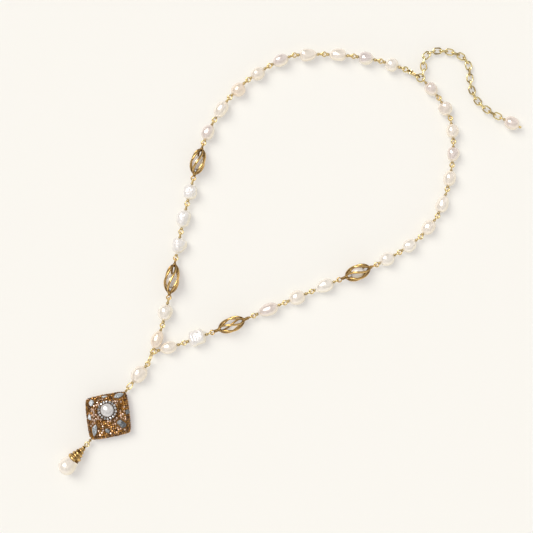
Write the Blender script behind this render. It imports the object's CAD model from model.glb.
"""Finish, beadwork and studio for a lavaliere necklace that lies flat, closed into its loop."""

import math

import bmesh
import bpy
import numpy as np
from bpy.props import FloatProperty, FloatVectorProperty, PointerProperty
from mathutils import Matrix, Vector, noise


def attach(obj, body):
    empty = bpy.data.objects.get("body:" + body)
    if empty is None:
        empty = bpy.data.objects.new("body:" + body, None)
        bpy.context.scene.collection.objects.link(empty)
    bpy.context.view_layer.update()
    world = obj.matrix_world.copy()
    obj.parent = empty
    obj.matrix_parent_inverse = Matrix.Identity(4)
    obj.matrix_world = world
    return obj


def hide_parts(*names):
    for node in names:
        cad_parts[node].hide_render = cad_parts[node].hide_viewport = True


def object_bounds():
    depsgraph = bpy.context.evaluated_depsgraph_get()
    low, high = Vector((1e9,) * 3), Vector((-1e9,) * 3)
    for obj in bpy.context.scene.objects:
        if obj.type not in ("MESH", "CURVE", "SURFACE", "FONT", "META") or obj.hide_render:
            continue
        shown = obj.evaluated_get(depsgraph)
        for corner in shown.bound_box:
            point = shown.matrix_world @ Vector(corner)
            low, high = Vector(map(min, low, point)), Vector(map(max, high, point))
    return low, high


bl_info = {
    "name": "Lavaliere necklace dressing",
    "version": (1, 0, 0),
    "blender": (4, 5, 0),
    "location": "View3D > Sidebar > Necklace",
    "description": "Nacre, wound wire, beadwork and studio for a necklace laid out flat",
    "category": "Object",
}

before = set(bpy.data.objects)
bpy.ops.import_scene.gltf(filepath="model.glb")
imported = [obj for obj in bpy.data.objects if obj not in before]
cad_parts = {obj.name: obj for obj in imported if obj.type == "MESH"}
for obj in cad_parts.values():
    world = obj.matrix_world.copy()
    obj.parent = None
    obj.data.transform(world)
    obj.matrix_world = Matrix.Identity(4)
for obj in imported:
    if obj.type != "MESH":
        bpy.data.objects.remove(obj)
cad_box = [list(corner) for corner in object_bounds()]

MM = 0.001
NECKLACE = "necklace"
STRAND_PEARLS = [f"pearl_{side}_{k}" for side in ("left", "right") for k in range(1, 15)]
# Pearls to which the record gives its rosier finish
ROSE_PEARLS = {
    "pearl_left_1", "pearl_left_6", "pearl_left_8", "pearl_right_1", "pearl_right_2", "tail_pearl",
    "caged_pearl_1", "caged_pearl_2", "caged_pearl_3",
}
MAUVE_PEARLS = {
    "pearl_left_6", "pearl_left_10", "pearl_left_13",
    "pearl_right_1", "pearl_right_4", "pearl_right_12", "tail_pearl",
}
PEACH_PEARLS = {"pearl_left_1", "pearl_left_8"}
# Pearls with a crinkled skin, and how blockish each is
CRINKLED_PEARLS = {
    "pearl_left_3": 0.05, "pearl_left_4": 0.05, "pearl_left_5": 0.05, "pearl_right_13": 0.16,
}


# Shader sums and finishes


class Term:
    """One output of a finish's nodes. Sums on it add Math nodes."""

    def __init__(self, finish, socket):
        self.finish = finish
        self.socket = socket

    def _sum(self, operation, other, flipped=False):
        pair = (other, self) if flipped else (self, other)
        return self.finish.node("ShaderNodeMath", {"operation": operation}, dict(enumerate(pair)))

    def __add__(self, other):
        return self._sum("ADD", other)

    def __radd__(self, other):
        return self._sum("ADD", other, True)

    def __sub__(self, other):
        return self._sum("SUBTRACT", other)

    def __rsub__(self, other):
        return self._sum("SUBTRACT", other, True)

    def __mul__(self, other):
        return self._sum("MULTIPLY", other)

    def __rmul__(self, other):
        return self._sum("MULTIPLY", other, True)

    def steps(self, low, high):
        """0 below low, 1 above high and smooth between."""
        sockets = {"Value": self, "From Min": low, "From Max": high}
        return self.finish.node("ShaderNodeMapRange", {"interpolation_type": "SMOOTHSTEP"}, sockets)


class Finish:
    """The nodes of a new material or world, built one by one."""

    def __init__(self, name, kept_in=bpy.data.materials, place="Object"):
        self.owner = kept_in.new(name)
        self.owner.use_nodes = True
        self.tree = self.owner.node_tree
        self.tree.nodes.clear()
        self.place = self.node("ShaderNodeTexCoord", {}, {}, place)

    def node(self, kind, settings, sockets, output=0):
        """A node of a kind, its settings first, then the values and links of its sockets."""
        made = self.tree.nodes.new(kind)
        for setting, value in settings.items():
            if setting == "stops":
                self._set_stops(made.color_ramp, value)
            else:
                setattr(made, setting, value)
        for socket, value in sockets.items():
            target = self._socket(made.inputs, socket)
            if isinstance(value, Term):
                self.tree.links.new(value.socket, target)
            else:
                target.default_value = value
        return Term(self, self._socket(made.outputs, output)) if len(made.outputs) else None

    @staticmethod
    def _socket(group, key):
        """A node's input or output by its place, or by its name among those that are in use."""
        if isinstance(key, int):
            return group[key]
        shown = [s for s in group if s.name == key and s.enabled]
        return shown[0] if shown else group[key]

    @staticmethod
    def _set_stops(ramp, stops):
        while len(ramp.elements) < len(stops):
            ramp.elements.new(1.0)
        for element, (position, colour) in zip(ramp.elements, stops):
            element.position = position
            element.color = colour

    def clouds(self, per_mm, detail=2.0, roughness=0.5, twist=0.0):
        """Soft noise from 0 to 1 with about per_mm spots to a millimetre."""
        sockets = {"Vector": self.place, "Scale": per_mm / MM, "Detail": detail}
        sockets |= {"Roughness": roughness, "Distortion": twist}
        return self.node("ShaderNodeTexNoise", {}, sockets)

    def mix(self, share, first, second):
        """Colour between first and second."""
        sockets = {"Factor": share, "A": first, "B": second}
        return self.node("ShaderNodeMix", {"data_type": "RGBA"}, sockets, "Result")

    def ramp(self, value, *stops):
        return self.node("ShaderNodeValToRGB", {"stops": stops}, {"Fac": value}, "Color")

    def tone(self):
        """A number that the mesh carries at each of its points."""
        return self.node("ShaderNodeAttribute", {"attribute_name": "tone"}, {}, "Fac")

    def along(self, vector, way):
        """How far a vector reaches along a fixed way."""
        sockets = {0: vector, 1: tuple(way)}
        return self.node("ShaderNodeVectorMath", {"operation": "DOT_PRODUCT"}, sockets, "Value")

    def facing(self, way):
        """How far the surface faces a way, from -1 to 1."""
        return self.along(self.node("ShaderNodeNewGeometry", {}, {}, "Normal"), way)

    def bump(self, height, depth_mm):
        """A normal that follows a height from 0 to 1, depth_mm deep."""
        sockets = {"Height": height, "Strength": 1.0, "Distance": depth_mm * MM}
        return self.node("ShaderNodeBump", {}, sockets)

    def surface(self, **sockets):
        """Ends the finish with its surface shader. An underscore in a name stands for a space."""
        named = {key.replace("_", " "): value for key, value in sockets.items()}
        shader = self.node("ShaderNodeBsdfPrincipled", {}, named)
        self.node("ShaderNodeOutputMaterial", {}, {"Surface": shader})
        return self.owner


def rgba(colour):
    return (*colour[:3], 1.0)


def shade(colour, share):
    """A colour darker or brighter by a share."""
    return (*(min(1.0, c * share) for c in colour[:3]), 1.0)


# Meshes


class Shape:
    """Points and faces of one piece, gathered part by part."""

    def __init__(self):
        self.points = []
        self.faces = []
        self.tones = []

    def grid(self, rings, tone=0.5, closed=False):
        """Skin over rings of points, which lie along it and wind about its way. Open ends are capped."""
        rings = np.asarray(rings, float)
        count, sides = rings.shape[:2]
        faces = []
        for j in range(count if closed else count - 1):
            a, b = j * sides, (j + 1) % count * sides
            for k in range(sides):
                m = (k + 1) % sides
                faces.append((a + k, a + m, b + m, b + k))
        if not closed:
            faces.append(tuple(range(sides))[::-1])
            faces.append(tuple((count - 1) * sides + k for k in range(sides)))
        if np.ndim(tone) == 1:
            tone = np.repeat(tone, sides)
        first = len(self.points)
        self.points.extend(map(tuple, rings.reshape(-1, 3)))
        self.faces.extend(tuple(first + i for i in face) for face in faces)
        self.tones.extend(np.broadcast_to(np.ravel(tone), count * sides).tolist())

    def make(self, name, material, faceted=False):
        """The piece, with its points kept inside the CAD's box."""
        mesh = bpy.data.meshes.new(name)
        mesh.from_pydata(np.clip(self.points, *cad_box), [], self.faces)
        mesh.attributes.new("tone", "FLOAT", "POINT").data.foreach_set("value", self.tones)
        mesh.polygons.foreach_set("use_smooth", [not faceted] * len(mesh.polygons))
        mesh.materials.append(material)
        mesh.update()
        made = bpy.data.objects.new(name, mesh)
        bpy.context.scene.collection.objects.link(made)
        return made


def unit(v):
    v = np.asarray(v, float)
    return v / np.linalg.norm(v)


def from_line(points, root, way):
    """How far along a line points are from its root, the ways out to them and how far out they are."""
    off = points - root
    along = off @ way
    out = off - np.outer(along, way)
    far = np.linalg.norm(out, axis=1)
    return along, out / far[:, None], far


def run_along(points):
    """How far along a line of points each of them is."""
    return np.concatenate([[0], np.cumsum(np.linalg.norm(np.diff(points, axis=0), axis=1))])


def places_at(wanted, run, points):
    """The places on a flat line of points at the wanted distances along it."""
    return np.stack([np.interp(wanted, run, points[:, k]) for k in (0, 1)], -1)


def round_ways(first, second, count, start=0.0):
    """Ways evenly round a circle, turning from the first to the second."""
    angle = np.arange(count) * 2 * math.pi / count + start
    return np.outer(np.cos(angle), first) + np.outer(np.sin(angle), second)


def carried(path, closed=False, start=None):
    """Two directions across a path at each of its points, carried along without twist. The first of
    them is square to start at the path's beginning."""
    ahead = np.roll(path, -1, 0) - np.roll(path, 1, 0)
    if not closed:
        ahead[0] = path[1] - path[0]
        ahead[-1] = path[-1] - path[-2]
    ahead /= np.linalg.norm(ahead, axis=1)[:, None]
    side = np.cross(ahead[0], (0, 0, 1) if start is None else start)
    if np.linalg.norm(side) < 0.1:
        side = np.cross(ahead[0], (1, 0, 0))
    sides = [unit(side)]
    for way in ahead[1:]:
        side = sides[-1] - way * np.dot(sides[-1], way)
        sides.append(unit(side))
    sides = np.array(sides)
    if closed:
        last = sides[-1] - ahead[0] * np.dot(sides[-1], ahead[0])
        up = np.cross(ahead[0], sides[0])
        twist = math.atan2(np.dot(unit(last), up), np.dot(unit(last), sides[0]))
        turn = -twist * np.arange(len(path)) / len(path)
        ups = np.cross(ahead, sides)
        sides = np.cos(turn)[:, None] * sides + np.sin(turn)[:, None] * ups
    return sides, np.cross(ahead, sides)


def tube(path, radius, around=8, closed=False, flat=1.0, start=None):
    """Rings of a round wire along a path. flat thins it across its second direction."""
    path = np.asarray(path, float)
    side, up = carried(path, closed, start)
    radius = np.broadcast_to(radius, len(path))[:, None, None]
    angle = np.arange(around) * 2 * math.pi / around
    circle = (
        np.cos(angle)[None, :, None] * side[:, None] + flat * np.sin(angle)[None, :, None] * up[:, None]
    )
    return path[:, None] + radius * circle


def inner_side(rings, root, way):
    """1 where a wound wire faces the line that it is wound round, 0 where it faces out."""
    centres = rings.mean(1)
    _, out, _ = from_line(centres, root, way)
    across = rings - centres[:, None]
    across /= np.linalg.norm(across, axis=2)[:, :, None]
    return 0.5 - 0.5 * (across * out[:, None]).sum(2)


def node_points(name):
    return np.array([v.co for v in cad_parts[name].data.vertices])


def node_mesh(name):
    """A CAD node as a bmesh whose shared points are one point each."""
    work = bmesh.new()
    work.from_mesh(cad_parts[name].data)
    bmesh.ops.remove_doubles(work, verts=work.verts, dist=1e-6)
    work.normal_update()
    return work


def loose_parts(name):
    """The points of each loose solid of a CAD node."""
    work = node_mesh(name)
    seen, parts = set(), []
    for first in work.verts:
        if first.index in seen:
            continue
        seen.add(first.index)
        part, edge = [], [first]
        while edge:
            vert = edge.pop()
            part.append(tuple(vert.co))
            for link in vert.link_edges:
                other = link.other_vert(vert)
                if other.index not in seen:
                    seen.add(other.index)
                    edge.append(other)
        parts.append(np.array(part))
    work.free()
    return parts


def principal(points):
    """Middle of the points' box along their own axes, those axes from longest, and half sizes."""
    mean = points.mean(0)
    axes = np.linalg.svd(points - mean, full_matrices=False)[2]
    spread = (points - mean) @ axes.T
    low, high = spread.min(0), spread.max(0)
    order = np.argsort(low - high)
    axes = axes[order]
    middle = mean + ((low + high) / 2)[order] @ axes
    return middle, axes, ((high - low) / 2)[order]


# Nacre


# How much further out than its drill a CAD pearl's skin begins, and how far apart its rings are at least
DRILL_MARGIN = 0.1 * MM
RING_GAP = 0.03 * MM
# Lowest height of a pearl's skin above the surface
SKIN_LIFT = 0.01 * MM


def drill_axis(work):
    """Middle and way of the drill hole of a CAD pearl, and the hole's radius."""
    middle = np.mean([v.co for v in work.verts], axis=0)
    inside = [f for f in work.faces if np.dot(f.normal, np.array(f.calc_center_median()) - middle) < 0]
    wall = np.unique([tuple(v.co) for f in inside for v in f.verts], axis=0)
    centre = wall.mean(0)
    way = np.linalg.svd(wall - centre, full_matrices=False)[2][0]
    _, _, far = from_line(wall, centre, way)
    return centre, way, far.mean()


def pearl_rings(name):
    """The rings of points that the skin of a CAD pearl runs over, its drill's middle, way and radius."""
    work = node_mesh(name)
    centre, way, hole = drill_axis(work)
    points = np.array([v.co for v in work.verts])
    work.free()
    _, _, far = from_line(points, centre, way)
    outer = points[far > hole + DRILL_MARGIN]
    along = (outer - centre) @ way
    order = np.argsort(along)
    breaks = np.where(np.diff(along[order]) > RING_GAP)[0] + 1
    groups = np.split(outer[order], breaks)
    u = unit(np.cross(way, (0, 0, 1)))
    v = np.cross(way, u)
    rings = []
    for group in groups:
        off = group - group.mean(0)
        angle = np.arctan2(off @ v, off @ u)
        ring = group[np.argsort(angle)]
        if rings:
            turns = (np.roll(ring, k, 0) for k in range(len(ring)))
            ring = min(turns, key=lambda r: turn_gap(r, rings[-1]))
        rings.append(ring)
    return np.array(rings), centre, way, hole


def turn_gap(ring, before):
    """How far two rings are turned against each other."""
    a = ring - ring.mean(0)
    b = before - before.mean(0)
    a = a / np.linalg.norm(a, axis=1)[:, None]
    b = b / np.linalg.norm(b, axis=1)[:, None]
    return float(((a - b) ** 2).sum())


def hermite(rows, knots, wanted, ends):
    """Smooth curves through rows of points at their knots, read at the wanted places. ends rounds off
    both ends."""
    slope = np.gradient(rows, knots, axis=0)
    if ends:
        slope[0] = (rows[1] - rows[0]) / (knots[1] - knots[0]) * 1.5
        slope[-1] = (rows[-1] - rows[-2]) / (knots[-1] - knots[-2]) * 1.5
    place = np.clip(np.searchsorted(knots, wanted, "right") - 1, 0, len(knots) - 2)
    step = (knots[place + 1] - knots[place])[:, None, None]
    t = ((wanted - knots[place]) / (knots[place + 1] - knots[place]))[:, None, None]
    return (
        (2 * t**3 - 3 * t**2 + 1) * rows[place]
        + (t**3 - 2 * t**2 + t) * step * slope[place]
        + (3 * t**2 - 2 * t**3) * rows[place + 1]
        + (t**3 - t**2) * step * slope[place + 1]
    )


def refined(rings, around=4, steps=40):
    """A finer skin through the same rings, smooth both ways."""
    sides = rings.shape[1]
    wrapped = np.concatenate([rings[:, -3:], rings, rings[:, :4]], 1)
    fine = np.arange(sides * around) / around
    knots = np.arange(-3, sides + 4, dtype=float)
    across = hermite(wrapped.transpose(1, 0, 2), knots, fine, False).transpose(1, 0, 2)
    gaps = np.linalg.norm(np.diff(across, axis=0), axis=2).mean(1)
    knots = np.concatenate([[0], np.cumsum(gaps)])
    return hermite(across, knots, np.linspace(0, knots[-1], steps + 1), True)


# How often to a millimetre a pearl swells and folds, how often to a ring it is banded, and how narrow
# its folds are
LUMPS_PER_MM = 0.35
FOLDS_PER_MM = 0.75
BANDS_PER_RING = 0.32
FOLD_NARROWNESS = 3.4


def weathered(rings, seed, lumps, ripple, crinkle):
    """Rings moved out and in by the growth of nacre: broad lumps, fine rings and a crinkled skin."""
    centres = rings.mean(1, keepdims=True)
    out = rings - centres
    length = np.linalg.norm(out, axis=2, keepdims=True)
    ends = np.sin(np.linspace(0, math.pi, len(rings)))[:, None] ** 0.5
    move = np.zeros(rings.shape[:2])
    shift = Vector((seed * 7.3, seed * 3.1, seed * 1.7))
    for j, ring in enumerate(rings):
        for k, p in enumerate(ring):
            q = Vector(p) / MM + shift
            broad = noise.noise(q * LUMPS_PER_MM)
            band = noise.noise(Vector((j * BANDS_PER_RING + seed, k * 0.02, broad)))
            bent = q * FOLDS_PER_MM + Vector((broad, 0, 2 * broad))
            folds = 1 - abs(noise.noise(bent)) * FOLD_NARROWNESS
            move[j, k] = lumps * broad + ripple * band + crinkle * (max(folds, -0.9) - 0.3)
    return rings + out / length * (move * ends)[:, :, None] * MM


def squared(rings, way, share):
    """Rings of a pearl that is a little blockish: fuller towards its shoulders."""
    middle = rings.mean((0, 1))
    off = rings - middle
    along = off @ way
    out = off - along[..., None] * way
    reach = np.abs(along) / np.abs(along).max()
    swell = 1 + share * np.sin(math.pi * reach**1.5) ** 2 - 0.03
    return middle + along[..., None] * way + out * swell[..., None]


def drilled(rings, centre, way, hole):
    """Closes a pearl's skin with the rims and floors of its two drill holes."""
    ends = []
    for ring, inward in ((rings[0], way), (rings[-1], -way)):
        rim = centre + way * np.dot(ring.mean(0) - centre, way)
        _, out, _ = from_line(ring, rim, way)
        steps = ((hole + DRILL_MARGIN, -0.02), (hole, 0.10), (hole, 0.60))
        ends.append([rim + out * radius + inward * deep * MM for radius, deep in steps])
    return np.concatenate([ends[0][::-1], rings, ends[1]])


def string_pearl(node, seed, material, lumps=0.06, ripple=0.012, crinkle=0.0):
    """A drilled pearl over the skin of a CAD one, flattened where it meets the surface."""
    rings, centre, way, hole = pearl_rings(node)
    rings = refined(rings)
    if crinkle:
        rings = squared(rings, way, CRINKLED_PEARLS[node])
    skin = weathered(rings, seed, lumps, ripple, crinkle)
    skin[..., 2] = np.maximum(skin[..., 2], SKIN_LIFT)
    blush = 0.0 if crinkle else np.random.default_rng(90 + seed).uniform(0.0, 0.45)
    if node in PEACH_PEARLS:
        blush = 1.0
    shape = Shape()
    shape.grid(drilled(skin, centre, way, hole), blush)
    wear_pearl(shape, node, material)


def loose_pearl(node, seed, material):
    """An undrilled pearl in the place of a CAD one."""
    middle, axes, half = principal(node_points(node))
    if np.dot(np.cross(axes[0], axes[1]), axes[2]) < 0:
        axes[2] = -axes[2]
    girth = round_ways(axes[1] * half[1], axes[2] * half[2], 44)
    rings = [
        middle - axes[0] * half[0] * math.cos(a) + math.sin(a) * girth
        for a in np.linspace(0.06, math.pi - 0.06, 30)
    ]
    shape = Shape()
    shape.grid(weathered(np.array(rings), seed, 0.04, 0.01, 0.0), 0.1)
    wear_pearl(shape, node, material)


def wear_pearl(shape, node, material):
    wear(shape.make(f"nacre_{node}", material), node)


def wear(made, node):
    """Names the record's slot of a piece, the CAD node that it stands for, and what it rides on."""
    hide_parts(node)
    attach(made, NECKLACE)


# The way that a laid pearl's warm side faces: down and away from the key light
WARM_WAY = (0.60, -0.05, -0.80)


def nacre(name, top, side, peach, gloss, pits):
    """Nacre with its cool overtone on top and a warm, creamy lower side. Its mesh's tone adds peach."""
    finish = Finish(name)
    broad = finish.clouds(0.22, 2.0)
    veil = finish.clouds(0.7, 3.0, 0.6)
    skin = finish.clouds(2.2, 3.0, 0.6)
    tint = finish.mix(veil.steps(0.35, 0.7) * 0.4, rgba(top), shade(top, 0.94))
    warm = (finish.facing(WARM_WAY) + broad * 0.4 - 0.2).steps(-0.75, 0.15)
    tint = finish.mix(warm, tint, rgba(side))
    tint = finish.mix(finish.tone() * (broad * 0.6 + 0.4), tint, rgba(peach))
    return finish.surface(
        Base_Color=tint,
        Metallic=0.28,
        Roughness=gloss + skin * 0.12,
        IOR=1.7,
        Coat_Weight=0.8,
        Coat_Roughness=gloss * 0.45,
        Normal=finish.bump(skin * 0.6 + veil * 0.4, pits),
    )


class NacreLook(bpy.types.PropertyGroup):
    """Colours and skin of the pearls."""

    cream: FloatVectorProperty(
        name="Cream", description="Upper side of most pearls", subtype="COLOR", default=(0.93, 0.865, 0.785)
    )
    rose: FloatVectorProperty(
        name="Rose", description="Upper side of the rosy pearls", subtype="COLOR",
        default=(0.86, 0.775, 0.705),
    )
    mauve: FloatVectorProperty(
        name="Mauve", description="Upper side of the mauve pearls", subtype="COLOR",
        default=(0.78, 0.69, 0.665),
    )
    white: FloatVectorProperty(
        name="White", description="Upper side of the crinkled and the caged pearls", subtype="COLOR",
        default=(0.90, 0.862, 0.835),
    )
    side: FloatVectorProperty(
        name="Warm side", description="Lower side of the pearls", subtype="COLOR",
        default=(0.96, 0.885, 0.71),
    )
    peach: FloatVectorProperty(
        name="Peach", description="Blush of the warmer pearls", subtype="COLOR", default=(0.93, 0.765, 0.60)
    )
    silver: FloatVectorProperty(
        name="Silver", description="The pearl set in the pendant", subtype="COLOR",
        default=(0.72, 0.695, 0.68),
    )
    gloss: FloatProperty(
        name="Roughness", description="Roughness of a clean pearl", subtype="FACTOR",
        default=0.15, min=0, max=1,
    )
    crinkle: FloatProperty(
        name="Crinkle", description="Depth in mm of the folds of a crinkled pearl",
        default=0.20, min=0, max=0.4,
    )


class NECKLACE_OT_pearls(bpy.types.Operator):
    """Grows the pearls of the strands, cages, drop, pendant, teardrop and extender"""

    bl_idname = "necklace.pearls"
    bl_label = "Pearls"

    def execute(self, context):
        look = context.scene.nacre_look
        cream = self.skin("cream", look.cream, look)
        rose = self.skin("rose", look.rose, look)
        mauve = self.skin("mauve", look.mauve, look)
        white = self.skin("crinkled", look.white, look, 0.16, 0.06)
        for seed, node in enumerate(STRAND_PEARLS + ["drop_pearl", "tail_pearl"]):
            if node in CRINKLED_PEARLS:
                string_pearl(node, seed, white, 0.06, 0.02, look.crinkle)
            elif node in MAUVE_PEARLS:
                string_pearl(node, seed, mauve)
            else:
                string_pearl(node, seed, rose if node in ROSE_PEARLS else cream)
        for seed, node in enumerate(["caged_pearl_1", "caged_pearl_2", "caged_pearl_3"]):
            loose_pearl(node, 50 + seed, white)
        lower = shade(look.silver, 0.86)
        silver = nacre("nacre silvery", look.silver, lower, look.silver, look.gloss + 0.04, 0.05)
        loose_pearl("pendant_pearl", 60, silver)
        string_pearl("teardrop_pearl", 61, self.skin("teardrop", look.cream, look, 0.10, 0.02), 0.05, 0.02)
        return {"FINISHED"}

    @staticmethod
    def skin(name, top, look, rougher=0.0, pits=0.03):
        return nacre(f"nacre {name}", top, look.side, look.peach, look.gloss + rougher, pits)


# Wire and metal


def gold(name, bright, dark, gloss, patina, scratch=0.006, hollow=Finish.tone):
    """Metal that is bright where it is rubbed and darker in its hollows, by its mesh's tone or by
    another measure of the hollows."""
    finish = Finish(name)
    blotch = finish.clouds(0.7, 3.0, 0.6)
    fine = finish.clouds(5.0, 3.0, 0.65)
    worn = (hollow(finish) * 1.1 + blotch * 0.7 + fine * 0.3 - 0.6).steps(0.0, 0.9)
    colour = finish.mix(worn * patina, rgba(bright), rgba(dark))
    return finish.surface(
        Base_Color=colour,
        Metallic=1.0,
        Roughness=gloss + worn * 0.22 + fine * 0.06,
        Normal=finish.bump(fine * 0.7 + blotch * 0.3, scratch),
    )


WIRE_RADIUS = 0.35 * MM


class MetalLook(bpy.types.PropertyGroup):
    """Colours and sizes of the wire, cages, clasp and chain."""

    wire: FloatVectorProperty(
        name="Link wire", description="Gold of the link wires", subtype="COLOR", default=(0.86, 0.68, 0.34)
    )
    bright: FloatVectorProperty(
        name="Bright gold", description="Gold of clasp and extender", subtype="COLOR",
        default=(0.94, 0.79, 0.41),
    )
    antique: FloatVectorProperty(
        name="Antiqued gold", description="Rubbed ribs of the cages", subtype="COLOR",
        default=(0.74, 0.49, 0.19),
    )
    patina: FloatVectorProperty(
        name="Patina", description="Darkened hollows", subtype="COLOR", default=(0.15, 0.07, 0.014)
    )
    wire_radius: FloatProperty(
        name="Wire radius", description="Radius of the link wire", unit="LENGTH",
        default=WIRE_RADIUS, precision=5,
    )
    wrap_radius: FloatProperty(
        name="Wrap radius", description="Radius of the wire in its wraps", unit="LENGTH",
        default=0.25 * MM, precision=5,
    )
    rib_radius: FloatProperty(
        name="Rib radius", description="Half width of a cage's rib", unit="LENGTH",
        default=0.52 * MM, precision=5,
    )


# Height of the wires through the pearls, cages and pendant above the surface
WIRE_HEIGHT = 3.1 * MM
EYE_RADIUS = 1.05 * MM
EYE_OUTER = 1.4 * MM
# From an eye's middle to where its wraps begin, and as far as they can reach
NECK = 1.2 * MM
NECK_REACH = 6 * MM
# How far from a wire's axis only its wraps are, and not the wire or its bead
WRAP_BAND = (0.55 * MM, 0.9 * MM)


def eye_points(points, middle):
    """The points of a wire that are on the eye round a middle."""
    return points[np.linalg.norm(points - middle, axis=1) < EYE_OUTER * 1.04]


def eye_frame(points, end, way):
    """Middle and normal of a wire's eye, whose far end is given. way points along the wire."""
    middle = end + way * EYE_OUTER
    for _ in range(3):
        near = eye_points(points, middle)
        flat = np.linalg.svd(near - near.mean(0), full_matrices=False)[2][2]
        flat = unit(flat - way * np.dot(flat, way))
        across = np.cross(flat, way)
        spread = (near - middle) @ across
        middle = middle + across * (spread.max() + spread.min()) / 2
    return middle, flat


def wire_ends(points):
    """The two far ends of a straight wire's points, each with the way from it along the wire."""
    middle, axes, half = principal(points)
    way = axes[0]
    return (middle - way * half[0], way), (middle + way * half[0], -way)


def wrapped_eye(shape, middle, flat, way, reach, wraps, inner, look, seed):
    """A wire that comes out of a bead, makes a long or round eye and winds back round its neck.
    way points from the eye to the bead, reach lengthens the eye, wraps are where the wraps begin and
    end, and inner is where the wire ends."""
    wraps_from, wraps_to = wraps
    draw = np.random.default_rng(seed)
    across = np.cross(flat, way)
    lift = look.wire_radius * 0.55
    start = math.asin(min(0.9, look.wire_radius * 1.1 / EYE_RADIUS))
    turns = np.linspace(start, 2 * math.pi - start, 34)
    tilt = np.linspace(lift, -lift, len(turns))
    eye = [
        middle
        + way * (EYE_RADIUS * math.cos(a) + (reach if math.cos(a) > 0 else 0))
        + across * EYE_RADIUS * math.sin(a)
        + flat * t
        for a, t in zip(turns, tilt)
    ]
    path = [middle + way * inner, middle + way * (wraps_from + 0.1 * MM)] + eye
    radii = [look.wire_radius] * len(path)
    length = wraps_to - wraps_from
    rounds = max(1, round(length / (2 * look.wrap_radius) - 0.15))
    ring = look.wire_radius + look.wrap_radius * 0.95
    steps = 14 * rounds
    for k in range(steps + 1):
        a = math.pi + 2 * math.pi * rounds * k / steps
        along = wraps_from + look.wrap_radius + (length - 2 * look.wrap_radius) * k / steps
        wobble = 1 + 0.05 * draw.standard_normal() * (k % 5 == 0)
        path.append(middle + way * along + ring * wobble * (math.cos(a) * across + math.sin(a) * flat))
        radii.append(look.wrap_radius)
    path.append(path[-1] + way * 0.1 * MM)
    radii.append(look.wrap_radius * 0.8)
    path = np.array(path)
    tone = np.concatenate([[0.9, 0.8], np.full(len(eye), 0.15), np.full(steps + 2, 0.55)])
    tone[2:6] = 0.5
    tone[len(eye) - 2 : len(eye) + 2] = 0.5
    shape.grid(tube(path, radii, 8), tone)


def neck_span(points, middle, inward):
    """Where the wraps of an eye's neck end, from the eye's middle."""
    along, _, far = from_line(points, middle, inward)
    wrapped = (far > WRAP_BAND[0]) & (far < WRAP_BAND[1])
    neck = along[wrapped & (along > 0.9 * EYE_OUTER) & (along < NECK_REACH)]
    return neck.max() if len(neck) else EYE_OUTER + 0.25 * MM


def link_wire(shape, points, look, seed, eyes=2):
    """The wrapped eyes of the wire through a bead, in the place of a CAD wire's points."""
    ends = [(inward, *eye_frame(points, end, inward)) for end, inward in wire_ends(points)]
    if eyes == 1:
        ends = [min(ends, key=lambda e: eye_misfit(points, e[1], e[2]))]
    spans = [neck_span(points, middle, inward) for inward, middle, _ in ends]
    for k, (inward, middle, flat) in enumerate(ends):
        reach = spans[k] - min(spans) if eyes == 2 else 0.0
        wraps = (reach + NECK, spans[k])
        wrapped_eye(shape, middle, flat, inward, reach, wraps, spans[k] + NECK, look, seed + k)


def eye_misfit(points, middle, flat):
    """How far the points round a middle are from a flat eye's wire."""
    high, _, far = from_line(eye_points(points, middle), middle, flat)
    return float(np.abs(np.hypot(far - EYE_RADIUS, high) - WIRE_RADIUS).mean())


def ring_piece(node, material, steps=72):
    """A plain round ring in the place of a CAD ring, a little uneven as bent wire is."""
    middle, axes, half = principal(node_points(node))
    thick = half[2]
    path = middle + (half[0] - thick) * round_ways(axes[0], axes[1], steps)
    angle = np.arange(steps) * 2 * math.pi / steps
    radii = thick * (1 - 0.02 * np.sin(5 * angle) ** 2)
    shape = Shape()
    shape.grid(tube(path, radii, 14, True), 0.25 + 0.2 * np.sin(3 * angle), closed=True)
    wear(shape.make(f"bent_{node}", material), node)


class NECKLACE_OT_link_wires(bpy.types.Operator):
    """Bends the wires through the pearls, with their eyes and wraps, and the junction ring"""

    bl_idname = "necklace.link_wires"
    bl_label = "Link wires"

    def execute(self, context):
        look = context.scene.metal_look
        metal = gold("gold link wire", look.wire, look.patina, 0.20, 0.55)
        seed = 100
        for node in ("left_link_wires", "right_link_wires", "drop_link_wire", "pendant_wire"):
            shape = Shape()
            for points in loose_parts(node):
                link_wire(shape, points, look, seed)
                seed += 10
            wear(shape.make(f"bent_{node}", metal), node)
        for node in ("tail_pin", "teardrop_pin"):
            shape = Shape()
            points = loose_parts(node)
            for part in points:
                link_wire(shape, part, look, seed, eyes=1)
            if node == "tail_pin":
                ball_end(shape, np.concatenate(points))
            wear(shape.make(f"bent_{node}", metal), node)
        ring_piece("junction_ring", metal)
        return {"FINISHED"}


# How far from a pin's end its ball is measured, and how far its stub of wire runs on
BALL_REACH = 0.9 * MM
BALL_STUB = 1.5 * MM


def ball_end(shape, points):
    """The ball that keeps a pearl on its pin, with a stub of wire into the pearl."""
    end, inward = max(wire_ends(points), key=lambda e: eye_misfit(points, *eye_frame(points, *e)))
    _, _, far = from_line(points[(points - end) @ inward < BALL_REACH], end, inward)
    radius = far.max()
    angle = np.linspace(0.12, 2.5, 12)
    deep = radius * (1 - np.cos(angle))
    wide = radius * np.sin(angle)
    deep = np.append(deep, deep[-1] + BALL_STUB)
    wide = np.append(wide, wide[-1])
    shape.grid(turned(end + np.outer(deep, inward), wide, inward, 14), 0.2)


def turned(path, radii, way, around):
    """Rings of the given radii round a straight way."""
    u = unit(np.cross(way, (0, 0, 1) if abs(way[2]) < 0.9 else (1, 0, 0)))
    circle = round_ways(u, np.cross(way, u), around)
    return np.asarray(path)[:, None] + np.asarray(radii)[:, None, None] * circle


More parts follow.
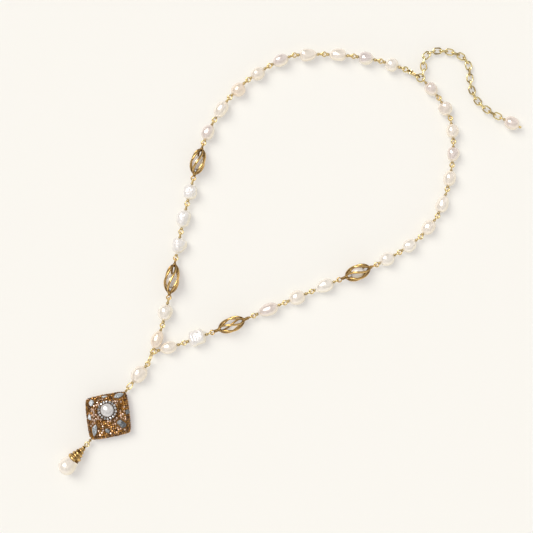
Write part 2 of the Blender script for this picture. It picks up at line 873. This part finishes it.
# Cages


# Each cage's width, the place of its belly, the wraps on its two necks and its ribs' width, as shares
# but for the wraps
CAGE_ROWS = {
    "wire_cage_1": {"width": 1.00, "belly": 0.42, "turns": (2, 2), "rib": 1.25},
    "wire_cage_2": {"width": 0.98, "belly": 0.44, "turns": (2, 2), "rib": 1.25},
    "wire_cage_3": {"width": 1.05, "belly": 0.52, "turns": (3, 5), "rib": 1.2},
    "wire_cage_4": {"width": 1.02, "belly": 0.50, "turns": (6, 5), "rib": 1.0},
}
CAGE_WIDTH = 8 * MM
WRAP_PITCH = 0.45 * MM
RIB_COUNT = 6
RIB_TWIST = math.radians(80)
RIB_START = math.radians(30)
RIB_FULLNESS = 1.62
# Share of a rib's length, at either end, along which it hasn't begun to bulge
RIB_STRAIGHT = 0.045
CAGE_NECK = 0.92 * MM
# Between a neck's wraps and the ribs, and how far before the ribs their collar stands
COLLAR_GAP = 0.1 * MM
COLLAR_BACK = 0.25 * MM


def bulge(t, belly):
    """How full a cage is at a share of its length, from 0 to 1. Its belly is its widest place."""
    share = 1 - t / belly if t < belly else (t - belly) / (1 - belly)
    return (1 - share**RIB_FULLNESS) ** (1 / RIB_FULLNESS)


def cage(node, material, look, seed):
    """Ribs, collars, necks and eyes of one cage, in the place of its CAD node."""
    row = CAGE_ROWS[node]
    points = node_points(node)
    ends = wire_ends(points)
    way = ends[0][1]
    eyes = [eye_frame(points, end, inward) for end, inward in ends]
    # The eye that lies flatter comes first in the left strand's cages and last in the right one's
    lying = [abs(flat[2]) for _, flat in eyes]
    left = node in ("wire_cage_1", "wire_cage_2")
    if (lying[0] > lying[1]) != left:
        way = -way
        eyes = eyes[::-1]
    first = eyes[0][0]
    pitch = float(np.dot(eyes[1][0] - first, way))
    side = unit(np.cross((0, 0, 1), way))
    up = np.cross(way, side)
    starts = [NECK + COLLAR_GAP + WRAP_PITCH * turns for turns in row["turns"]]
    body = pitch - sum(starts)
    width = row["width"] * CAGE_WIDTH
    lift = width / 2 - WIRE_HEIGHT
    shape = Shape()
    for rib in range(RIB_COUNT):
        path, tone, radii = [], [], []
        for t in (1 - np.cos(np.linspace(0, math.pi, 44))) / 2:
            t = 0.004 + 0.992 * t
            bulging = (t - RIB_STRAIGHT) / (1 - 2 * RIB_STRAIGHT)
            full = bulge(min(1.0, max(0.0, bulging)), row["belly"])
            r = CAGE_NECK + (width / 2 - look.rib_radius - CAGE_NECK) * full
            angle = 2 * math.pi * rib / RIB_COUNT + RIB_START + RIB_TWIST * (t - 0.5)
            across = side * r * math.cos(angle) + up * (r * math.sin(angle) + lift * full)
            path.append(first + way * (starts[0] + t * body) + across)
            tone.append(0.62 - 0.62 * full**1.2)
            radii.append(look.rib_radius * row["rib"] * (0.85 + 0.15 * full))
        rings = tube(path, radii, 10, flat=1 / row["rib"], start=unit(path[0] - first))
        shape.grid(rings, np.array(tone)[:, None] + 0.45 * inner_side(rings, first, way))
    for k, (middle, flat) in enumerate(eyes):
        inward = way if k == 0 else -way
        wraps = (NECK, NECK + WRAP_PITCH * row["turns"][k])
        wrapped_eye(shape, middle, flat, inward, 0.0, wraps, wraps[1], look, seed + k)
        collar(shape, middle + inward * (starts[k] - COLLAR_BACK), inward)
    wear(shape.make(f"wound_{node}", material), node)


# Places along a collar and its radius there, in mm, and how dark it is
COLLAR_STEPS = (
    (-0.05, 0.30, 0.9), (-0.05, 0.80, 0.8), (0.05, 0.98, 0.4), (0.22, 1.02, 0.4), (0.32, 0.95, 1.0),
    (0.42, 1.22, 0.7), (0.60, 1.40, 0.3), (0.80, 1.42, 0.3), (0.95, 1.32, 0.9), (1.15, 1.38, 0.35),
    (1.32, 1.36, 0.4), (1.40, 1.15, 0.9), (1.40, 0.30, 1.0),
)


def collar(shape, root, inward):
    """Soldered collar where a cage's ribs meet: a cup with two rolled rims."""
    along, radii, tone = np.array(COLLAR_STEPS).T
    shape.grid(turned(root + np.outer(along * MM, inward), radii * MM, inward, 20), tone)


class NECKLACE_OT_cages(bpy.types.Operator):
    """Winds the ribs of the wire cages"""

    bl_idname = "necklace.cages"
    bl_label = "Wire cages"

    def execute(self, context):
        look = context.scene.metal_look
        metal = gold("antiqued cage gold", look.antique, look.patina, 0.18, 1.0, 0.012)
        for seed, node in enumerate(CAGE_ROWS):
            cage(node, metal, look, 300 + 10 * seed)
        return {"FINISHED"}


# Clasp and extender


def chain_link(shape, points, seed):
    """An oval link of round wire, in the place of a CAD link's points."""
    draw = np.random.default_rng(seed)
    middle, axes, half = principal(points)
    thick = half[2]
    end = half[1] - thick
    straight = half[0] - half[1]
    angle = np.arange(56) * 2 * math.pi / 56
    x = end * np.cos(angle) + straight * np.sign(np.cos(angle)) * np.minimum(1, np.abs(np.cos(angle)) * 6)
    y = end * np.sin(angle)
    path = middle + np.outer(x, axes[0]) + np.outer(y, axes[1])
    tone = 0.42 + 0.45 * np.sin(2 * angle + draw.uniform(0, 6))
    shape.grid(tube(path, thick, 12, True), tone, closed=True)


class NECKLACE_OT_extender(bpy.types.Operator):
    """Forms the extender's links and the ring that the clasp hooks"""

    bl_idname = "necklace.extender"
    bl_label = "Extender chain"

    def execute(self, context):
        look = context.scene.metal_look
        metal = gold("bright chain gold", look.bright, look.patina, 0.10, 0.65)
        shape = Shape()
        for seed, points in enumerate(loose_parts("extender_chain")):
            chain_link(shape, points, 400 + seed)
        wear(shape.make("oval_extender_chain", metal), "extender_chain")
        ring_piece("joining_ring", metal)
        return {"FINISHED"}


# The way across the clasp, along its lever's pin, and half the width of the slot between its cheeks
CLASP_SIDE = (-0.189683, 0.981845, 0.0)
SLOT_HALF = 0.42 * MM


class NECKLACE_OT_clasp(bpy.types.Operator):
    """Polishes the claw clasp and its lever"""

    bl_idname = "necklace.clasp"
    bl_label = "Claw clasp"

    def execute(self, context):
        look = context.scene.metal_look
        middle = float((node_points("clasp_lever") @ CLASP_SIDE).mean())

        def slot(finish):
            off = (finish.along(finish.place, CLASP_SIDE) - middle) * (1 / SLOT_HALF)
            return 1 - (off * off).steps(0.2, 1.3)

        metal = gold("cast clasp gold", shade(look.bright, 0.95), look.patina, 0.12, 0.88, hollow=slot)
        for node in ("clasp_body", "clasp_lever"):
            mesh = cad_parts[node].data
            for k in range(len(mesh.materials)):
                mesh.materials[k] = metal
        return {"FINISHED"}


# Pendant


# Heights on the pendant's form, from its floor to its crown, and its half width there, as shares
FORM_SECTIONS = (
    (0.0, 0.97), (0.20, 1.0), (0.46, 1.0), (0.68, 0.95),
    (0.83, 0.83), (0.92, 0.62), (0.98, 0.32), (1.0, 0.0),
)
FORM_FLOOR = 1.1 * MM
FORM_RISE = 5.3 * MM
HALF_SIDE = 10.9 * MM
CORNER = 1.6 * MM
SIDE_BOW = 0.4 * MM
SQUEEZE = 0.93
# Beads on the crown are brighter. Stones and the set pearl keep beads away above the shoulder.
CROWN = 4.6 * MM
SHOULDER = 3.2 * MM
PEARL_CLEARING = 4.75 * MM
CHIP_MARGIN = 0.42 * MM
# Distance between a row's beads as a share of a bead, where the first row lies as a share of a row, and
# the share of the half width within which the crown's very top has no rows
BEAD_SPACING = 0.94
FIRST_ROW = 0.35
TOP_SHARE = 0.06
# Half the sizes of the gap that the wire leaves in the rows
WIRE_GAP = (0.75 * MM, 0.85 * MM)
HALO_LENGTH = 1.05 * MM
HALO_RADIUS = 0.63 * MM


def pendant_frame():
    """Middle of the pendant on the floor, its way from the drop to the teardrop and its left side."""
    (a, way), (b, _) = wire_ends(loose_parts("pendant_wire")[0])
    middle = (a + b) / 2
    middle[2] = 0
    way = unit((way[0], way[1], 0))
    if way[1] > 0:
        way = -way
    return middle, way, np.cross((0, 0, 1), way)


def outline(steps=40):
    """The pendant's outline, a square with round corners standing on one."""
    points = []
    inset = HALF_SIDE - CORNER
    for k in range(4):
        turn = math.pi / 2 * k
        for j in range(9):
            angle = turn - math.pi / 4 + math.pi / 2 * j / 8
            x = inset * math.sqrt(2) * math.cos(turn) + CORNER * math.cos(angle)
            points.append((x, inset * math.sqrt(2) * math.sin(turn) + CORNER * math.sin(angle)))
        a = turn + math.pi / 4
        for j in range(1, steps):
            t = 2 * j / steps - 1
            out = HALF_SIDE + SIDE_BOW * (1 - t * t)
            x = out * math.cos(a) - inset * t * math.sin(a)
            points.append((x, out * math.sin(a) + inset * t * math.cos(a)))
    points = np.array(points)
    points[:, 1] *= SQUEEZE
    return points


# How far on the outline is looked at for the way along it
LOOK_AHEAD = 0.3 * MM


def evenly(points, bead, draw):
    """Places a bead apart along a closed outline, and the ways along it there."""
    closed = np.concatenate([points, points[:1]])
    run = run_along(closed)
    count = max(4, round(run[-1] / bead))
    shift = draw.uniform(0, 1)
    wanted = (np.arange(count) + shift) % count / count * run[-1]
    at = places_at(wanted, run, closed)
    ahead = places_at((wanted + LOOK_AHEAD) % run[-1], run, closed) - at
    return at, ahead / np.linalg.norm(ahead, axis=1)[:, None]


# Places along a cut seed bead and how far out it is there, as shares of its length and radius. It is
# closed through its hole.
BEAD_PROFILE = ((-0.50, 0.32), (-0.47, 0.78), (-0.26, 1.0), (0.26, 1.0), (0.47, 0.78), (0.50, 0.32))


def add_bead(shape, middle, way, up, length, radius, tone, around=8):
    """A seed bead whose hole runs along a way, turned by its tone."""
    circle = round_ways(np.cross(up, way), up, around, tone * 3)
    rings = [middle + way * (along * length) + out * radius * circle for along, out in BEAD_PROFILE]
    shape.grid(rings, tone, closed=True)


class BeadworkLook(bpy.types.PropertyGroup):
    """Colours and sizes of the pendant's beadwork."""

    bead: FloatProperty(
        name="Seed bead", description="Diameter of a seed bead", unit="LENGTH",
        default=1.12 * MM, precision=5,
    )
    row: FloatProperty(
        name="Row", description="Distance between the rows of beads", unit="LENGTH",
        default=1.05 * MM, precision=5,
    )
    deep: FloatVectorProperty(
        name="Deep bronze", description="Darkest beads", subtype="COLOR", default=(0.10, 0.038, 0.012)
    )
    amber: FloatVectorProperty(
        name="Amber bronze", description="Most beads", subtype="COLOR", default=(0.46, 0.215, 0.035)
    )
    blush: FloatVectorProperty(
        name="Blush", description="Brightest beads", subtype="COLOR", default=(0.77, 0.56, 0.43)
    )
    backing: FloatVectorProperty(
        name="Backing", description="Thread and backing between the beads", subtype="COLOR",
        default=(0.20, 0.085, 0.012),
    )
    silver: FloatVectorProperty(
        name="Silver", description="Beads round the set pearl", subtype="COLOR", default=(0.80, 0.80, 0.80)
    )
    stone: FloatVectorProperty(
        name="Stone", description="Grey stone chips", subtype="COLOR", default=(0.31, 0.335, 0.355)
    )


def chip_plans(middle, way, left):
    """Middle, long way and half sizes of each stone chip in the pendant's plan."""
    plans = []
    for points in loose_parts("stone_chips"):
        off = points - middle
        flat = np.stack([off @ way, off @ left], 1)
        centre = flat.mean(0)
        axes = np.linalg.svd(flat - centre, full_matrices=False)[2]
        half = np.abs((flat - centre) @ axes.T).max(0)
        plans.append((centre, axes, half))
    return plans


def covered(place, plans):
    """Whether a place in the pendant's plan is under a stone chip."""
    for centre, axes, half in plans:
        x, y = (place - centre) @ axes.T / (half + CHIP_MARGIN)
        if x * x + y * y < 1:
            return True
    return False


def form_line(inset, count=400):
    """Places along the form's section from its foot to its crown, how far in and how high, and the
    ways into the form there."""
    heights = FORM_FLOOR + FORM_RISE * np.array([h for h, _ in FORM_SECTIONS])
    ins = HALF_SIDE * (1 - np.array([share for _, share in FORM_SECTIONS]))
    line = np.stack([ins, heights], 1)
    run = run_along(line)
    even = np.linspace(0, run[-1], count)
    fine = places_at(even, run, line)
    for _ in range(60):
        fine[1:-1] = (fine[:-2] + 2 * fine[1:-1] + fine[2:]) / 4
    ahead = np.gradient(fine, axis=0)
    ahead /= np.linalg.norm(ahead, axis=1)[:, None]
    inward = np.stack([ahead[:, 1], -ahead[:, 0]], 1)
    return fine + inset * inward, inward


class NECKLACE_OT_beadwork(bpy.types.Operator):
    """Sews the seed beads over the pendant's form, row by row"""

    bl_idname = "necklace.beadwork"
    bl_label = "Beadwork"

    def execute(self, context):
        look = context.scene.beadwork_look
        middle, way, left = pendant_frame()
        draw = np.random.default_rng(7)
        plans = chip_plans(middle, way, left)
        pearl = principal(node_points("pendant_pearl"))[0]
        spot = np.array([(pearl - middle) @ way, (pearl - middle) @ left])
        line, inward = form_line(look.bead * 0.5)
        run = run_along(line)
        shape = Shape()
        for row in range(int(run[-1] / look.row) + 1):
            at = min(run[-1], (row + FIRST_ROW) * look.row)
            ins, height = places_at(at, run, line)
            lean = places_at(at, run, inward)
            share = 1 - ins / HALF_SIDE
            if share < TOP_SHARE:
                continue
            for place, ahead in zip(*evenly(outline() * share, look.bead * BEAD_SPACING, draw)):
                jitter = draw.normal(0, 0.05 * MM, 3)
                tone = draw.uniform() * (1 if height > CROWN else 0.5)
                size = look.bead * draw.normal(1, 0.05)
                tip = draw.normal(0, 0.12, 3)
                if self.bare(place, height, spot, plans):
                    continue
                outward = way * ahead[1] - left * ahead[0]
                up = unit(-outward * lean[0] - np.array([0, 0, lean[1]]))
                along = unit(way * ahead[0] + left * ahead[1] + 0.5 * tip)
                up = unit(up - along * np.dot(up, along))
                centre = middle + way * place[0] + left * place[1] + np.array([0, 0, height]) + jitter
                add_bead(shape, centre, along, up, 0.86 * size, 0.5 * size, tone)
        wear(shape.make("seed_beads", self.bead_finish(look), faceted=True), "bead_field")
        self.core(look, middle, way, left)
        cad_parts["pendant_back"].data.materials[0] = self.backing_finish(look, "pendant backing")
        return {"FINISHED"}

    @staticmethod
    def bare(place, height, spot, plans):
        """Whether no bead is sewn at a place: by the wire, the set pearl or a stone."""
        if abs(place[1]) < WIRE_GAP[0] and abs(height - WIRE_HEIGHT) < WIRE_GAP[1]:
            return True
        if height <= SHOULDER:
            return False
        return np.linalg.norm(place - spot) < PEARL_CLEARING or covered(place, plans)

    @staticmethod
    def bead_finish(look):
        finish = Finish("bronze seed beads")
        tone = finish.tone()
        fine = finish.clouds(3.0, 2.0)
        colour = finish.ramp(
            tone,
            (0.0, rgba(look.deep)),
            (0.32, shade(look.amber, 0.75)),
            (0.58, shade(look.amber, 1.4)),
            (0.76, rgba(look.blush)),
            (1.0, shade(look.blush, 1.3)),
        )
        colour = finish.mix(fine.steps(0.45, 0.75) * 0.5, colour, rgba(look.deep))
        rough = 0.16 + fine * 0.12
        return finish.surface(
            Base_Color=colour, Metallic=0.75, Roughness=rough, Coat_Weight=0.5, Coat_Roughness=0.08
        )

    @staticmethod
    def backing_finish(look, name):
        finish = Finish(name)
        weave = finish.clouds(2.4, 3.0, 0.7)
        blotch = finish.clouds(0.3, 2.0)
        colour = finish.mix(weave.steps(0.3, 0.7), shade(look.backing, 0.55), shade(look.backing, 1.4))
        colour = finish.mix(blotch * 0.4, colour, shade(look.amber, 0.8))
        return finish.surface(
            Base_Color=colour, Roughness=0.62 + weave * 0.2, Normal=finish.bump(weave, 0.12)
        )

    def core(self, look, middle, way, left):
        """The backed form under the beads."""
        line, _ = form_line(look.bead * 0.62)
        pick = np.linspace(0, len(line) - 1, 26).astype(int)
        rings = []
        for ins, height in line[pick]:
            ring = outline(12) * max(0.02, 1 - ins / HALF_SIDE)
            rings.append(middle + np.outer(ring[:, 0], way) + np.outer(ring[:, 1], left) + (0, 0, height))
        shape = Shape()
        shape.grid(rings)
        ground = self.backing_finish(look, "beadwork ground")
        wear(shape.make("beadwork_core", ground), "bead_field")


class NECKLACE_OT_halo(bpy.types.Operator):
    """Sews the silvery beads round the set pearl"""

    bl_idname = "necklace.halo"
    bl_label = "Halo beads"

    def execute(self, context):
        look = context.scene.beadwork_look
        draw = np.random.default_rng(11)
        finish = Finish("silvery seed beads")
        fine = finish.clouds(2.5, 2.0)
        colour = finish.mix(finish.tone().steps(0.0, 1.0), shade(look.silver, 0.55), rgba(look.silver))
        rough = 0.12 + fine * 0.15
        metal = finish.surface(
            Base_Color=colour, Metallic=0.85, Roughness=rough, Coat_Weight=0.6, Coat_Roughness=0.05
        )
        parts = [points.mean(0) for points in loose_parts("halo_beads")]
        centre = np.mean(parts, axis=0)
        shape = Shape()
        for place in parts:
            out = unit(place - centre)
            along = unit(np.cross((0, 0, 1), out) + draw.normal(0, 0.10, 3))
            add_bead(shape, place, along, out, HALO_LENGTH, HALO_RADIUS, draw.uniform(), around=10)
        wear(shape.make("halo_seed_beads", metal, faceted=True), "halo_beads")
        return {"FINISHED"}


# Distance across the pendant over which the chips go from lightest to darkest
CHIP_SHADE = 13 * MM


class NECKLACE_OT_stones(bpy.types.Operator):
    """Cuts the faceted stone chips"""

    bl_idname = "necklace.stones"
    bl_label = "Stone chips"

    def execute(self, context):
        look = context.scene.beadwork_look
        finish = Finish("grey stone")
        cloud = finish.clouds(0.8, 4.0, 0.65, 0.6)
        grain = finish.clouds(4.0, 3.0, 0.7)
        light = cloud * 0.75 + grain * 0.35 + 0.03 - finish.tone() * 0.27
        colour = finish.ramp(
            light,
            (0.28, shade(look.stone, 0.20)),
            (0.42, shade(look.stone, 0.75)),
            (0.55, shade(look.stone, 1.5)),
            (0.68, (0.86, 0.90, 0.92, 1)),
        )
        stone = finish.surface(
            Base_Color=colour,
            Roughness=0.18 + grain * 0.3,
            Coat_Weight=0.6,
            Coat_Roughness=0.08,
            Normal=finish.bump(grain * 0.6 + cloud * 0.4, 0.10),
        )
        middle, _, left = pendant_frame()
        draw = np.random.default_rng(21)
        shape = Shape()
        for points in loose_parts("stone_chips"):
            self.chip(shape, points, float(np.dot(points.mean(0) - middle, left)), draw)
        wear(shape.make("cut_stone_chips", stone, faceted=True), "stone_chips")
        return {"FINISHED"}

    @staticmethod
    def chip(shape, points, aside, draw):
        """A broken chip with a slanted table and uneven facets, in the place of a CAD chip's points."""
        centre, axes, half = principal(points)
        if axes[2][2] < 0:
            axes[2] = -axes[2]
        count = 6
        angle = (np.arange(count) + draw.uniform(-0.28, 0.28, count)) * 2 * math.pi / count
        reach = draw.uniform(0.80, 1.10, count)
        reach[draw.integers(count)] = 1.16
        table = draw.uniform(0.35, 0.72, count)
        shift = draw.uniform(-0.18, 0.18, 2)
        tilt = draw.uniform(-0.35, 0.35, 2)
        rings = []
        for high, share in ((-1.0, [0.9] * count), (0.15, [1.0] * count), (1.0, table)):
            ring = []
            for a, r, t in zip(angle, reach, share):
                x, y = r * t * math.cos(a), r * t * math.sin(a)
                lift = high
                if high == 1.0:
                    x, y = x + shift[0], y + shift[1]
                    lift += tilt[0] * x + tilt[1] * y
                elif high > 0:
                    lift += draw.uniform(-0.25, 0.25)
                ring.append(centre + (half * (x, y, lift)) @ axes)
            rings.append(ring)
        if np.dot(np.cross(axes[0], axes[1]), axes[2]) < 0:
            rings = [ring[::-1] for ring in rings]
        shape.grid(rings, min(1.0, max(0.0, 0.45 + aside / CHIP_SHADE)))


# Teardrop cap


CAP_TIP = 0.85 * MM
# Turns of each of the cap's two wires
CAP_ROUNDS = 4.3
# Each wire's half width, where it starts in turns, and how far in from the cap's side it runs, in mm
CAP_WIRES = ((0.92, 0.0, 0.86), (0.36, 0.5, 0.95))


class NECKLACE_OT_cap(bpy.types.Operator):
    """Winds the cap over the teardrop pearl"""

    bl_idname = "necklace.cap"
    bl_label = "Wound cap"

    def execute(self, context):
        look = context.scene.metal_look
        metal = gold("antiqued cap gold", look.antique, look.patina, 0.20, 1.0, 0.012)
        points = node_points("wrapped_cap")
        (_, way), _ = wire_ends(node_points("teardrop_pin"))
        way = unit(way if way[1] < 0 else -way)
        along = points @ way
        height = along.max() - along.min()
        foot = points[along > along.max() - 0.3 * MM].mean(0)
        top = foot - way * (foot @ way - along.min())
        _, _, far = from_line(points, top, way)
        width = far.max()
        shape = Shape()
        self.wind(shape, top, way, height, width)
        self.line(shape, top, way, height, width)
        wear(shape.make("wound_cap", metal), "wrapped_cap")
        return {"FINISHED"}

    @staticmethod
    def wind(shape, top, way, height, width):
        """The two wires that wind down the cap, a thick one and a thin one between its turns."""
        side = unit(np.cross(way, (0, 0, 1)))
        up = np.cross(side, way)
        slope = (width - CAP_TIP) / height
        phase = np.random.default_rng(5).uniform(0, 6, 4)
        steps = int(CAP_ROUNDS * 40)
        for strand, (radius, shift, inset) in enumerate(CAP_WIRES):
            path, radii, tone = [], [], []
            for k in range(steps + 1):
                t = k / steps
                a = 2 * math.pi * (CAP_ROUNDS * t**0.92 + shift)
                place = (0.07 + 0.87 * t) * height
                wave = 0.16 * math.sin(1.6 * a + phase[strand]) + 0.10 * math.sin(0.7 * a + phase[2])
                swell = (0.50 + 0.50 * t) * (1 + 0.10 * math.sin(2.3 * a + phase[3]))
                r = CAP_TIP + slope * place - inset * swell * MM
                path.append(top + way * (place + wave * MM) + r * (math.cos(a) * side + math.sin(a) * up))
                radii.append(radius * MM * swell)
                tone.append(0.10 + 0.15 * math.sin(1.7 * a + phase[1]))
            rings = tube(path, radii, 12)
            lean = (rings - np.array(path)[:, None]) @ way / np.array(radii)[:, None]
            inside = inner_side(rings, top, way)
            shape.grid(rings, np.array(tone)[:, None] + 1.1 * inside + 0.25 * np.abs(lean))

    @staticmethod
    def line(shape, top, way, height, width):
        """The hollow cone that the wires are wound on."""
        profile = (
            (0.01, 0.55 * MM), (0.01, CAP_TIP - 0.25 * MM), (0.985, width - 0.75 * MM),
            (1.0, width - 0.9 * MM), (0.97, width - 1.15 * MM), (0.10, 0.55 * MM),
        )
        path = [top + way * share * height for share, _ in profile]
        shape.grid(turned(path, [radius for _, radius in profile], way, 40), 1.0, closed=True)


# Studio


class StudioLook(bpy.types.PropertyGroup):
    """The floor, the light and the camera."""

    floor: FloatVectorProperty(
        name="Floor", description="Pale surface that it lies on", subtype="COLOR",
        default=(0.595, 0.583, 0.525),
    )
    glow: FloatVectorProperty(
        name="Floor glow", description="Light that comes up through it", subtype="COLOR",
        default=(0.322, 0.314, 0.325),
    )
    key: FloatProperty(name="Key light", description="Strength of the main light", default=2.15)
    panel: FloatProperty(
        name="Panel", description="Brightness of the soft panel high above the pieces", default=4.5, min=0
    )
    room: FloatProperty(name="Room", description="Strength of the room's light", default=1.02)
    distance: FloatProperty(
        name="Camera distance", description="From the floor", unit="LENGTH", default=0.6293
    )


# How far the picture is turned against the frame, and the place that is in its middle
PHOTO_TURN = math.radians(40)
PHOTO_MIDDLE = (9 * MM, 0.5 * MM, 0.0)
# Where the lights stand: the side in degrees in the picture, the heights above the horizon
LIGHT_SIDE = 138
KEY_HEIGHT = 48
KEY_SPREAD = 38
KEY_COLOUR = (1.0, 0.985, 0.955)
PANEL_HEIGHT = 70
# Angles from the panel's middle where its light ends, and where it is full
PANEL_EDGE = (13.5, 9)
# How bright the room is by the height of the way looked at: bright round the sides, dimmer above
ROOM_STEPS = ((0.0, 1.0), (0.20, 1.0), (0.46, 0.66), (0.66, 0.54), (1.0, 0.58))
ROOM_TINT = (1.0, 0.985, 0.975)
# The room is dimmer low down on the lights' side
ROOM_DIM_WAY = (-0.98, 0.09, 0.17)
ROOM_DIM = 0.90
FLOOR_REACH = 3.0


def light_way(height):
    """The way toward the lights' side, at a height above the horizon in degrees."""
    turn = PHOTO_TURN + math.radians(LIGHT_SIDE)
    rise = math.radians(height)
    return math.cos(turn) * math.cos(rise), math.sin(turn) * math.cos(rise), math.sin(rise)


class NECKLACE_OT_studio(bpy.types.Operator):
    """Sets the floor, the soft lights and the camera straight above"""

    bl_idname = "necklace.studio"
    bl_label = "Studio"

    def execute(self, context):
        look = context.scene.studio_look
        view = context.scene.view_settings
        view.view_transform = "Standard"
        view.look = "None"
        view.exposure = 0.0
        self.floor(look)
        self.key_light(look)
        context.scene.world = self.room(look)
        context.scene.camera = self.camera(look)
        return {"FINISHED"}

    @staticmethod
    def floor(look):
        finish = Finish("pale floor")
        fleck = finish.clouds(0.02, 2.0)
        paint = finish.surface(
            Base_Color=finish.mix(fleck * 0.2, rgba(look.floor), shade(look.floor, 0.995)),
            Roughness=0.85,
            Specular_IOR_Level=0.1,
            Emission_Color=rgba(look.glow),
            Emission_Strength=1.0,
        )
        mesh = bpy.data.meshes.new("pale_floor")
        corners = [(x * FLOOR_REACH, y * FLOOR_REACH, 0) for x, y in ((-1, -1), (1, -1), (1, 1), (-1, 1))]
        mesh.from_pydata(corners, [], [(0, 1, 2, 3)])
        mesh.materials.append(paint)
        ground = bpy.data.objects.new("pale_floor", mesh)
        bpy.context.scene.collection.objects.link(ground)

    @staticmethod
    def room(look):
        """Soft light all round with faint patches, and a bright panel high on the lights' side."""
        finish = Finish("studio room", bpy.data.worlds, "Generated")
        way = finish.place
        height = finish.node("ShaderNodeSeparateXYZ", {}, {"Vector": way}, "Z")
        colour = finish.ramp(height, *((at, shade(ROOM_TINT, bright)) for at, bright in ROOM_STEPS))
        patches = finish.node("ShaderNodeTexNoise", {}, {"Vector": way, "Scale": 2.2, "Detail": 1.0})
        dim = finish.along(way, ROOM_DIM_WAY).steps(0.0, 0.85) * ROOM_DIM
        light = (1 - dim) * (patches.steps(0.42, 0.58) * 0.8 + 0.6)
        edge, full = (math.cos(math.radians(angle)) for angle in PANEL_EDGE)
        panel = finish.along(way, light_way(PANEL_HEIGHT)).steps(edge, full) * look.panel
        sockets = {"Color": colour, "Strength": light * look.room + panel}
        back = finish.node("ShaderNodeBackground", {}, sockets)
        finish.node("ShaderNodeOutputWorld", {}, {"Surface": back})
        return finish.owner

    @staticmethod
    def key_light(look):
        """The broad far light that draws the shadows."""
        way = Vector(light_way(KEY_HEIGHT))
        light = bpy.data.lights.new("key_light", "SUN")
        light.angle = math.radians(KEY_SPREAD)
        light.energy = look.key
        light.color = KEY_COLOUR
        holder = bpy.data.objects.new("key_light", light)
        holder.location = way
        holder.rotation_euler = way.to_track_quat("Z", "Y").to_euler()
        bpy.context.scene.collection.objects.link(holder)

    @staticmethod
    def camera(look):
        camera = bpy.data.cameras.new("overhead_camera")
        camera.lens = 85
        camera.sensor_width = 36
        camera.clip_start = 0.05
        camera.clip_end = 20
        holder = bpy.data.objects.new("overhead_camera", camera)
        holder.location = Vector(PHOTO_MIDDLE) + Vector((0, 0, look.distance))
        holder.rotation_euler = (0, 0, PHOTO_TURN)
        bpy.context.scene.collection.objects.link(holder)
        return holder


OPERATORS = (
    NECKLACE_OT_pearls,
    NECKLACE_OT_link_wires,
    NECKLACE_OT_cages,
    NECKLACE_OT_extender,
    NECKLACE_OT_clasp,
    NECKLACE_OT_beadwork,
    NECKLACE_OT_halo,
    NECKLACE_OT_stones,
    NECKLACE_OT_cap,
    NECKLACE_OT_studio,
)
LOOKS = {
    "nacre_look": NacreLook,
    "metal_look": MetalLook,
    "beadwork_look": BeadworkLook,
    "studio_look": StudioLook,
}


class NECKLACE_PT_dressing(bpy.types.Panel):
    """Lists the steps of the necklace's dressing and their settings"""

    bl_idname = "NECKLACE_PT_dressing"
    bl_label = "Necklace"
    bl_space_type = "VIEW_3D"
    bl_region_type = "UI"
    bl_category = "Necklace"

    def draw(self, context):
        for operator in OPERATORS:
            self.layout.operator(operator.bl_idname)
        for group in LOOKS:
            look = getattr(context.scene, group)
            box = self.layout.box()
            for name in look.__annotations__:
                box.prop(look, name)


def register():
    for group in LOOKS.values():
        bpy.utils.register_class(group)
    for name, group in LOOKS.items():
        setattr(bpy.types.Scene, name, PointerProperty(type=group))
    for operator in OPERATORS:
        bpy.utils.register_class(operator)
    bpy.utils.register_class(NECKLACE_PT_dressing)


def unregister():
    bpy.utils.unregister_class(NECKLACE_PT_dressing)
    for operator in reversed(OPERATORS):
        bpy.utils.unregister_class(operator)
    for name in LOOKS:
        delattr(bpy.types.Scene, name)
    for group in reversed(LOOKS.values()):
        bpy.utils.unregister_class(group)


def main():
    register()
    for step in OPERATORS:
        group, name = step.bl_idname.split(".")
        getattr(getattr(bpy.ops, group), name)()


if __name__ == "__main__":
    main()
